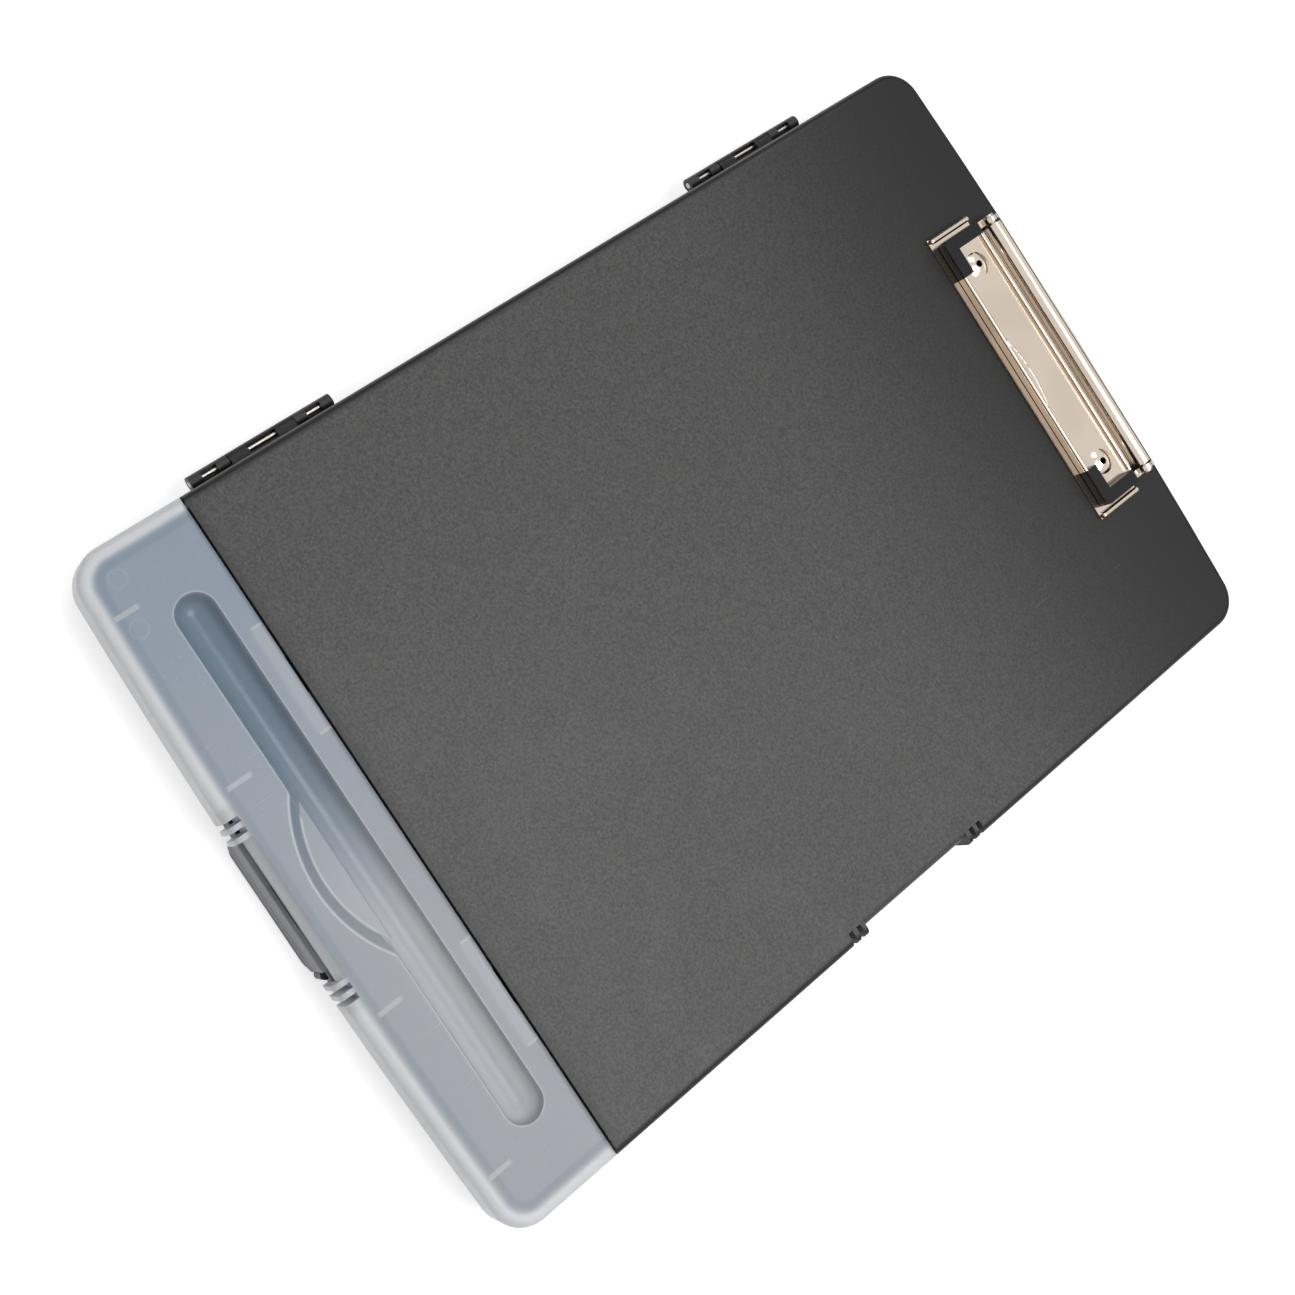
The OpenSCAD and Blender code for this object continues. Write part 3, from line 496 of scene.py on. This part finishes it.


# The board's darkest tone is painted shade.
board_black = black_plastic(
    "black_board", pit=(0.013, 0.013, 0.013), peak=(0.087, 0.084, 0.082), rough=0.42,
    scuffs=0.50, painted_shade_tone=(0.003, 0.003, 0.003), ior=1.40)
tray_black = black_plastic(
    "black_tray", pit=(0.010, 0.010, 0.011), peak=(0.024, 0.024, 0.026), rough=0.44,
    scuffs=0.2)
corner_black = black_plastic(
    "black_clip_corner", pit=(0.004, 0.004, 0.005), peak=(0.010, 0.011, 0.013), rough=0.22,
    scuffs=0.3, ior=1.33)
print("Finishes:", board_black.name, tray_black.name, corner_black.name)

# %% [markdown]
# ## Where the clear plastic changes its look
#
# Frosted clear plastic looks milky where light has to cross more of it: over the skirt
# behind the rim and over ribs and webs. Real thickness could do this with an absorbing volume,
# but that renders slowly and can't be baked. Thin light lines where the sheet turns down into
# the pen groove and the finger scoop, and along the joint with the board, are painted
# highlights in the same milky tone, where rounded edges would catch the light. So one node
# group works out masks from the place: a strip is the part of the lid within some distance of
# a middle line, with soft edges, and each feature is a strip or a product of two. A strip's
# size is a pair of numbers, half its width and the width of its soft edge.
#
# The group's masks are "Milky" for those places, "Across" from 0 at the
# hinge side to 1 towards the latch side, "Sunk" for the bottom of the groove and the scoop,
# where shade and light are painted, "Groove_shade" for a painted shade along the middle of
# the groove, and "Shade" where the tray's black wall stands just inside the rim and, as
# painted shade, where the scoop's wall slopes.

# %% Strips, and the start of the group
ACROSS_FADE = (-0.10, 0.03)


def strip(tree, axis, middle, size):
    """1 near middle along that axis, falling to 0. size is (half width, soft edge)."""
    half, soft = size
    away = maths(tree, "ABSOLUTE", maths(tree, "SUBTRACT", axis, middle))
    return ramp(tree, away, half, half + soft, 1.0, 0.0)


def strips(tree, axis, middles, size):
    """The same strip at several middles."""
    return most(tree, *(strip(tree, axis, middle, size) for middle in middles))


walls, walls_given, walls_wanted = start_group(
    "walls_edge_on_and_painted_light", {"Rim": 1.0, "Ribs": 0.6, "Hinge": 0.3, "Edges": 0.8},
    ["Milky", "Across", "Sunk", "Groove_shade", "Shade"])
lid_x, lid_y, lid_z = object_axes(walls)
either_x = maths(walls, "ABSOLUTE", lid_x)
feed(walls, ramp(walls, lid_x, *ACROSS_FADE), walls_wanted["Across"])
print("Group", walls.name, "is started")

# %% The rim, ribs, webs and bead
RIM_FADE = (0.0034, 0.0056)
RIBS_X, RIB_Y = (0.099, 0.040), -0.1690
RIB_WIDTH, RIB_LENGTH = (0.0005, 0.0006), (0.0034, 0.0016)
WEBS_X, WEB_Y = (0.0381, 0.0753), -0.1390
WEB_WIDTH, WEB_LENGTH = (0.0003, 0.0005), (0.0018, 0.0010)
BEAD_X, BEAD_Y = 0.0567, -0.1388
BEAD_WIDTH, BEAD_LENGTH = (0.0018, 0.0022), (0.0176, 0.0012)

rim_distance = place_group(walls, rim)["Distance"]
near_rim = ramp(walls, rim_distance, *RIM_FADE, 1.0, 0.0)
ribs = product(walls, strips(walls, either_x, RIBS_X, RIB_WIDTH),
               strip(walls, lid_y, RIB_Y, RIB_LENGTH))
webs = product(walls, strips(walls, either_x, WEBS_X, WEB_WIDTH),
               strip(walls, lid_y, WEB_Y, WEB_LENGTH))
bead = product(walls, strip(walls, lid_y, BEAD_Y, BEAD_WIDTH),
               strip(walls, either_x, BEAD_X, BEAD_LENGTH))
print("Masks for", 2 * len(RIBS_X), "ribs and", 2 * len(WEBS_X), "webs")

# %% The pen groove
# A straight slot with round ends: its points lie within its half width of a line.
GROOVE_BACK = 0.0158                        # from the board's end to its middle
GROOVE_Y = BOARD_END_Y - GROOVE_BACK
GROOVE_HALF = 0.0067
GROOVE_SOFT = 0.0003
GROOVE_LINE = (0.0001, 0.0005)
GROOVE_STRAIGHT = 0.0878                    # half the length of its straight part
GROOVE_SINK = (0.0212, 0.0244)              # heights where it is sunk, and not yet
GROOVE_SHADE_WIDTH = (0.0008, 0.0026)
GROOVE_SHADE_END = 0.005

past_straight = most(walls, maths(walls, "SUBTRACT", either_x, GROOVE_STRAIGHT), 0.0)
off_groove = maths(walls, "SUBTRACT", lid_y, GROOVE_Y)
groove_out = length_of(walls, past_straight, off_groove)
in_groove = ramp(walls, groove_out, GROOVE_HALF, GROOVE_HALF + GROOVE_SOFT, 1.0, 0.0)
sunk_groove = product(walls, in_groove, ramp(walls, lid_z, *GROOVE_SINK, 1.0, 0.0))
# Painted highlight: a thin light line along the groove's rim, where its edge would catch light.
groove_edge = strip(walls, groove_out, GROOVE_HALF, GROOVE_LINE)
# Painted shade: a dark band along the middle of the groove, fading out at its round ends.
feed(walls, product(walls, ramp(walls, past_straight, 0.0, GROOVE_SHADE_END, 1.0, 0.0),
                    strip(walls, lid_y, GROOVE_Y, GROOVE_SHADE_WIDTH)), walls_wanted["Groove_shade"])
print("The groove is", 2000 * (GROOVE_STRAIGHT + GROOVE_HALF), "mm long")

# %% The finger scoop
# The scoop is a slice of a wide cone on the pen end's side of the groove, so its rim, its
# sloped wall and its floor are all told by the distance from the cone's axis.
SCOOP_REACH = 0.0159
SCOOP_RIM_R = 0.0506
SCOOP_LEAN = 0.004
SCOOP_DEPTH = 0.004
SCOOP_FLOOR_R = SCOOP_RIM_R - SCOOP_LEAN
SCOOP_Y = GROOVE_Y - SCOOP_REACH + SCOOP_RIM_R
SCOOP_FLOOR_Z = LID_TOP_Z - SCOOP_DEPTH
SCOOP_LINE = (0.00015, 0.0006)
SCOOP_WALL_R, SCOOP_WALL_WIDTH = (SCOOP_RIM_R + SCOOP_FLOOR_R) / 2, (0.0014, 0.0006)
SCOOP_SOFT = 0.0008                         # how softly it ends the groove's edge line
FLOOR_SOFT_R = 0.0002
FLOOR_FADE_Y = (GROOVE_Y, GROOVE_Y + 0.0005)
FLOOR_FADE_Z = (SCOOP_FLOOR_Z - 0.0005, SCOOP_FLOOR_Z - 0.0001)
FAR_SIDE_FADE = (GROOVE_Y, GROOVE_Y + 0.001)
BESIDE_FADE = (GROOVE_Y - GROOVE_HALF - 0.0004, GROOVE_Y - GROOVE_HALF)

scoop_out = length_of(walls, either_x, maths(walls, "SUBTRACT", lid_y, SCOOP_Y))
beside_groove = ramp(walls, lid_y, *BESIDE_FADE, 1.0, 0.0)
# Painted highlights: thin light arcs along the scoop's rim and the edge of its floor.
scoop_arcs = product(walls, beside_groove,
                     strips(walls, scoop_out, (SCOOP_RIM_R, SCOOP_FLOOR_R), SCOOP_LINE))
scoop_wall = product(walls, beside_groove,
                     strip(walls, scoop_out, SCOOP_WALL_R, SCOOP_WALL_WIDTH))
scoop_floor = product(
    walls, ramp(walls, scoop_out, SCOOP_FLOOR_R - FLOOR_SOFT_R, SCOOP_FLOOR_R, 1.0, 0.0),
    ramp(walls, lid_y, *FLOOR_FADE_Y, 1.0, 0.0),
    ramp(walls, lid_z, *FLOOR_FADE_Z))
outside_scoop = most(walls, ramp(walls, scoop_out, SCOOP_RIM_R - SCOOP_SOFT, SCOOP_RIM_R),
                     ramp(walls, lid_y, *FAR_SIDE_FADE))
print("The scoop's floor lies at z =", round(SCOOP_FLOOR_Z, 4))

# %% Ejector marks
# The pins that pushed the lid out of its mould leave faint rings near its corner.
EJECTOR_R, EJECTOR_LINE = 0.0028, (0.0001, 0.0005)
EJECTORS = ((-0.1088, -0.1655), (-0.0931, -0.1685))
EJECTOR_SHARE = 0.16

rings = []
for ejector_x, ejector_y in EJECTORS:
    from_pin = length_of(walls, maths(walls, "SUBTRACT", lid_x, ejector_x),
                         maths(walls, "SUBTRACT", lid_y, ejector_y))
    rings.append(strip(walls, from_pin, EJECTOR_R, EJECTOR_LINE))
ejector_rings = product(walls, most(walls, *rings), EJECTOR_SHARE)
print("Ejector marks:", len(EJECTORS))

# %% Put the masks together
LID_EDGE_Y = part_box("pen_lid")[1].y
JOINT_LINE = (0.0003, 0.0006)
JOINT_LINE_SHARE = 0.5
GROOVE_LINE_SHARE = 0.70
SCOOP_WALL_SHADE = 0.6
SCOOP_FLOOR_SHADE = 0.35
TRAY_WALL_IN = 0.0068                       # from the outline in to the tray's wall
TRAY_WALL_WIDTH = (0.0004, 0.0012)

# Painted highlights on the scoop's arcs, the joint and the groove's edge, with the ejector
# rings.
edges = most(
    walls, scoop_arcs, ejector_rings,
    product(walls, strip(walls, lid_y, LID_EDGE_Y, JOINT_LINE), JOINT_LINE_SHARE),
    product(walls, outside_scoop, groove_edge, GROOVE_LINE_SHARE))
feed(walls, most(walls, product(walls, near_rim, walls_given["Rim"]),
                 product(walls, most(walls, ribs, webs), walls_given["Ribs"]),
                 product(walls, bead, walls_given["Hinge"]),
                 product(walls, edges, walls_given["Edges"])), walls_wanted["Milky"])
# Painted shade in the hollows: the groove's walls and the scoop's sloped wall and floor.
feed(walls, most(walls, product(walls, sunk_groove, maths(walls, "SUBTRACT", 1.0, scoop_floor)),
                 product(walls, scoop_wall, SCOOP_WALL_SHADE),
                 product(walls, scoop_floor, SCOOP_FLOOR_SHADE)), walls_wanted["Sunk"])
# The tray's black wall seen through the sheet inside the rim, and painted shade on the scoop's
# wall.
tray_wall = strip(walls, rim_distance, TRAY_WALL_IN, TRAY_WALL_WIDTH)
feed(walls, most(walls, tray_wall, scoop_wall), walls_wanted["Shade"])
print("Group", walls.name, "has", len(walls.nodes), "nodes")

# %% [markdown]
# ## Frosted clear plastic
#
# The pen lid is clear polypropylene with a frosted face, over a black tray. What is below
# shows as a dim blue grey. Full transmission through two rough faces would need very many
# samples to come out clean, so about half of the look is transmission and the other half is
# a plain colour that carries the same tones.
#
# The sheet goes from a clearer blue at the hinge side to a greyer tone at the latch side,
# which is a choice for its looks and not a measured change of thickness.

# %% Frosted plastic
FROST_CELLS_PER_M = 1800.0
FROST_GRAIN_DEPTH = 0.00004
FROST_SCUFFS = 0.45
FROST_SPECKS = 0.25
CLOUD_TONE, CLOUD_SHARE = (0.54, 0.56, 0.60), 0.30
HOLLOW_SHADE_BLUE, HOLLOW_LIT_GREY, HOLLOW_FADE = (0.27, 0.36, 0.45), (0.75, 0.77, 0.80), 3.5
GROOVE_SHADE_BLUE, GROOVE_SHADE_SHARE = (0.14, 0.21, 0.30), 0.32
SHADE_BLUE, SHADE_SHARE = (0.22, 0.29, 0.37), 0.35
SCRATCH_WHITE = (0.85, 0.87, 0.89)
DUST_WHITE = (0.90, 0.91, 0.92)
SATIN, SATIN_DRIFT, HOLLOW_POLISH = 0.36, 0.10, 0.10


def frosted_plastic(name, clear, thick, milk_and_highlight, rim_share, see_through, ior=PLASTIC_IOR):
    """Frosted polypropylene from clear at the hinge side to thick at the latch side."""
    finish, tree, shader = start_finish(name, IOR=ior, Transmission_Weight=see_through)
    texture = place_group(tree, grain, Cells_per_metre=FROST_CELLS_PER_M)
    scratches = place_group(tree, marks, Amount=FROST_SCUFFS)["Scratches"]
    specks = place_group(tree, dust, Specks=FROST_SPECKS)["Specks"]
    masks = place_group(tree, walls, Rim=rim_share)
    sheet = mix_colour(tree, masks["Across"], clear, thick)
    clouded = mix_colour(tree, product(tree, texture["Drift"], CLOUD_SHARE), sheet, CLOUD_TONE)
    # Painted shade and light in the groove and scoop: a darker blue towards the hinge side,
    # and a lighter grey, painted light, towards the latch side.
    hollow_shade_and_light = mix_colour(tree, maths(tree, "POWER", masks["Across"], HOLLOW_FADE),
                        HOLLOW_SHADE_BLUE, HOLLOW_LIT_GREY)
    # The painted shade band along the middle of the groove.
    shaded_groove = mix_colour(tree, product(tree, masks["Groove_shade"], GROOVE_SHADE_SHARE), hollow_shade_and_light, GROOVE_SHADE_BLUE)
    grooved = mix_colour(tree, masks["Sunk"], clouded, shaded_groove)
    # Darker over the tray's wall under the rim, and painted shade on the scoop's sloped wall.
    shaded = mix_colour(tree, product(tree, masks["Shade"], SHADE_SHARE), grooved, SHADE_BLUE)
    # Milky where the sheet is thick, and painted highlights along its edges, in the milk tone.
    body = mix_colour(tree, masks["Milky"], shaded, milk_and_highlight)
    rubbed = mix_colour(tree, scratches, body, SCRATCH_WHITE)
    feed(tree, mix_colour(tree, specks, rubbed, DUST_WHITE), shader.inputs["Base Color"])
    satin = maths(tree, "ADD", SATIN, product(tree, texture["Drift"], SATIN_DRIFT))
    polish = product(tree, masks["Sunk"], HOLLOW_POLISH)
    feed(tree, maths(tree, "SUBTRACT", satin, polish), shader.inputs["Roughness"])
    bump(tree, shader, texture["Height"], FROST_GRAIN_DEPTH)
    return finish


frosted = frosted_plastic(
    "frosted_lid", clear=(0.35, 0.43, 0.53), thick=(0.43, 0.455, 0.505),
    milk_and_highlight=(0.80, 0.81, 0.83), rim_share=1.0, see_through=0.45)
frosted_flap = frosted_plastic(
    "frosted_flap", clear=(0.09, 0.09, 0.10), thick=(0.09, 0.09, 0.10),
    milk_and_highlight=(0.17, 0.17, 0.18), rim_share=0.0, see_through=0.15, ior=1.33)
print("Finishes:", frosted.name, frosted_flap.name)

# %% [markdown]
# ## Plated and drawn steel
#
# The clip is pressed from sheet with a bright, warm nickel plate, with faint scratches and
# a little haze from fingers. A metal has no colour of its own apart from its reflections,
# so the Base Color of a fully metallic shader is the tint of what it mirrors. The haze is a
# duller tint and a rougher face. The hinge pins and the clip's rod are plain drawn wire.

# %% Nickel-plated steel
METAL_SCUFFS = 0.6
METAL_STROKES_PER_M = 60.0
METAL_HAZE = 0.6
SCRATCH_DULLING = 0.10
HAZE_DULLING = 0.05
SCRATCH_DEPTH = 0.00001


def metal(name, bright, hazy, rough):
    """Polished metal whose tint goes from bright to hazy under fingermarks."""
    finish, tree, shader = start_finish(name, Metallic=1.0)
    scratches = place_group(tree, marks, Amount=METAL_SCUFFS,
                            Strokes_per_metre=METAL_STROKES_PER_M)["Scratches"]
    haze = place_group(tree, dust, Blotches=METAL_HAZE)["Blotches"]
    feed(tree, mix_colour(tree, haze, bright, hazy), shader.inputs["Base Color"])
    dulling = maths(tree, "ADD", product(tree, scratches, SCRATCH_DULLING),
                    product(tree, haze, HAZE_DULLING))
    feed(tree, maths(tree, "ADD", rough, dulling), shader.inputs["Roughness"])
    bump(tree, shader, scratches, SCRATCH_DEPTH)
    return finish


nickel = metal("nickel_plate", (0.66, 0.57, 0.48), (0.58, 0.50, 0.42), 0.13)
pin_steel = metal("drawn_pin_steel", (0.50, 0.47, 0.43), (0.40, 0.38, 0.35), 0.30)
pin_black = metal("pin_black", (0.10, 0.10, 0.10), (0.07, 0.07, 0.07), 0.40)
print("Finishes:", nickel.name, pin_steel.name, pin_black.name)

# %% [markdown]
# ## Every node gets its finish
#
# Each node is one real piece of one material. Its object already has a material slot, so a
# table from the node's name to its finish is all that is needed.

# %% Give every node its finish
finish_of = {
    "base_tray": tray_black, "main_lid": board_black, "side_latch": tray_black,
    "pen_lid": frosted, "end_latch": frosted_flap,
    "lower_hinge_pin": pin_steel, "upper_hinge_pin": pin_steel,
    "pen_hinge_pin_left": pin_steel, "pen_hinge_pin_right": pin_steel,
    "side_latch_pin": pin_black, "end_latch_pin": pin_black,
    "clip_plate": nickel, "clip_lever": nickel, "clip_rod": pin_steel,
    "clip_spring": pin_steel, "clip_rivets": nickel, "rivet_washers": nickel,
    "clip_corner_left": corner_black, "clip_corner_right": corner_black,
}
for name, node in nodes.items():
    for material_slot in node.material_slots:
        material_slot.material = finish_of[name]
print("Finished nodes:", sum(name in finish_of for name in nodes), "of", len(nodes))
